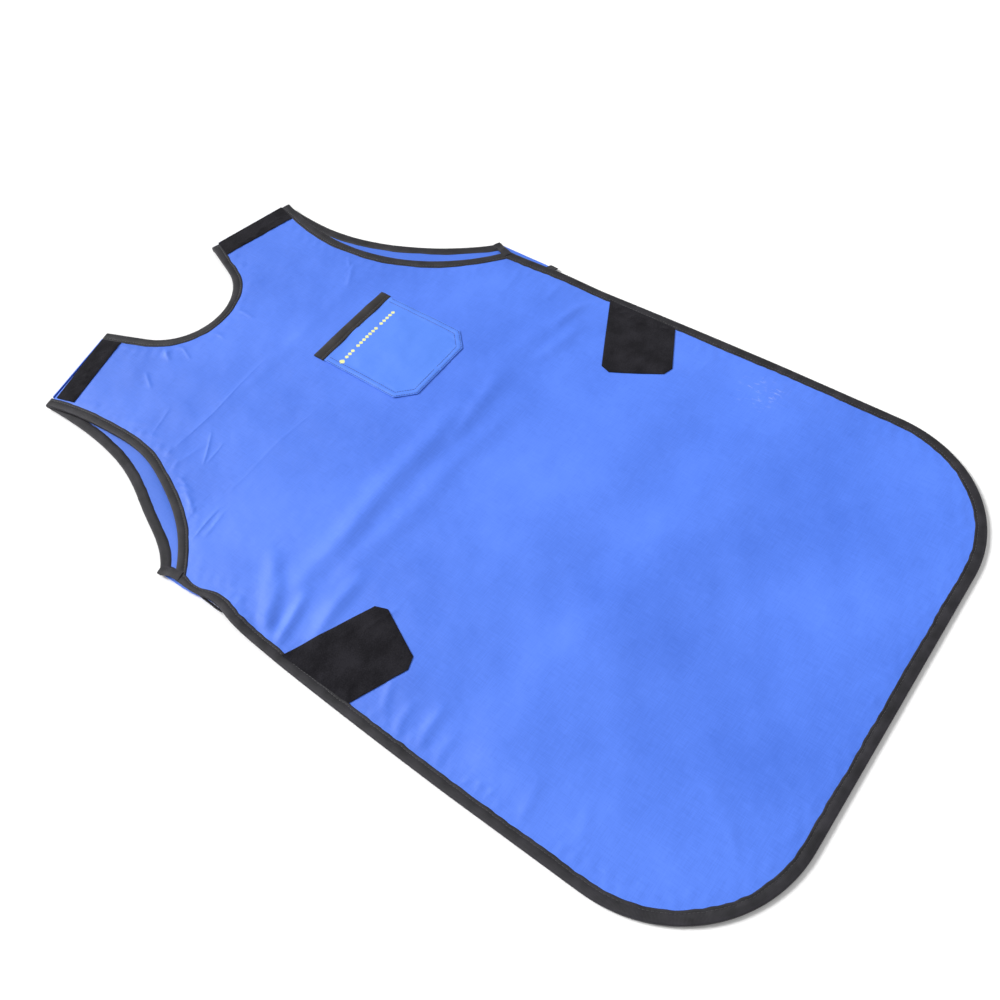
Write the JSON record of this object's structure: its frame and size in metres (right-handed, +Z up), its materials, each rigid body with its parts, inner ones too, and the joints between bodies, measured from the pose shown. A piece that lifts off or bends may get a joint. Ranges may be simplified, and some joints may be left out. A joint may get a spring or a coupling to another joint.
{
  "type": "lead apron",
  "caption": "Front-protection x-ray apron laid flat: layered lead-rubber front with bound edge, back wings folded under, chest pocket, waist and shoulder loop patches.",
  "frame": {"origin": "centre of the outline, on the surface the apron lies on", "axes": "+X towards the wearer's left, +Y towards the neck, +Z up out of the front face"},
  "size_m": [0.6, 0.9999, 0.0174],
  "materials": {
    "cover_cloth": "polyurethane-coated nylon, fine plain weave with a soft satin sheen",
    "binding_tape": "ribbed woven polyester binding tape, black, matt with a faint sheen",
    "lead_rubber": "smooth grey lead-loaded vinyl rubber",
    "loop_tape": "brushed nylon loop pile, black, very matt",
    "hook_tape": "woven nylon tape with rows of moulded hooks, black",
    "mark": "screen-printed ink, pale yellow"
  },
  "bodies": {
    "bodice": {"bodice_back_lead_sheet": "lead_rubber", "bodice_cover": "cover_cloth", "bodice_front_lead_sheet": "lead_rubber", "bodice_lining": "cover_cloth", "left_armhole_binding": "binding_tape", "left_shoulder_fold": "cover_cloth", "left_shoulder_strip": "loop_tape", "left_side_binding": "binding_tape", "left_side_seam": "cover_cloth", "left_waist_patch": "loop_tape", "left_yoke_binding": "binding_tape", "left_yoke_cover": "cover_cloth", "left_yoke_lining": "cover_cloth", "neck_binding": "binding_tape", "pocket_seam": "cover_cloth", "right_armhole_binding": "binding_tape", "right_shoulder_fold": "cover_cloth", "right_shoulder_strip": "loop_tape", "right_side_binding": "binding_tape", "right_side_seam": "cover_cloth", "right_waist_patch": "loop_tape", "right_yoke_binding": "binding_tape", "right_yoke_cover": "cover_cloth", "right_yoke_lining": "cover_cloth"},
    "skirt": {"skirt_back_lead_sheet": "lead_rubber", "skirt_cover": "cover_cloth", "skirt_front_lead_sheet": "lead_rubber", "skirt_lining": "cover_cloth", "hem_binding": "binding_tape"},
    "left_wing": {"left_hook_pad": "hook_tape", "left_wing_cover": "cover_cloth", "left_wing_lining": "cover_cloth", "left_wing_neck_binding": "binding_tape", "left_wing_strap_binding": "binding_tape"},
    "right_wing": {"right_hook_pad": "hook_tape", "right_wing_cover": "cover_cloth", "right_wing_lining": "cover_cloth", "right_wing_neck_binding": "binding_tape", "right_wing_strap_binding": "binding_tape"},
    "pocket_front": {"pocket_panel": "cover_cloth", "pocket_mouth_binding": "binding_tape", "pocket_mark": "mark"}
  },
  "joints": [
    {"name": "skirt_fold", "type": "hinge", "parent": "bodice", "child": "skirt", "pos_m": [0, -0.22, 0.0132], "axis": [-1, 0, 0], "range_deg": [0, 170]},
    {"name": "left_wing_fold", "type": "hinge", "parent": "bodice", "child": "left_wing", "pos_m": [0.0903, 0.49708, 0.00195], "axis": [0.4404, -0.8978, 0], "range_deg": [0, 179.6]},
    {"name": "right_wing_fold", "type": "hinge", "parent": "bodice", "child": "right_wing", "pos_m": [-0.0903, 0.49708, 0.00195], "axis": [0.4404, 0.8978, 0], "range_deg": [0, 179.6]},
    {"name": "pocket_opening", "type": "hinge", "parent": "bodice", "child": "pocket_front", "pos_m": [0.0865, 0.103, 0.0166], "axis": [1, 0, 0], "range_deg": [0, 12]}
  ]
}
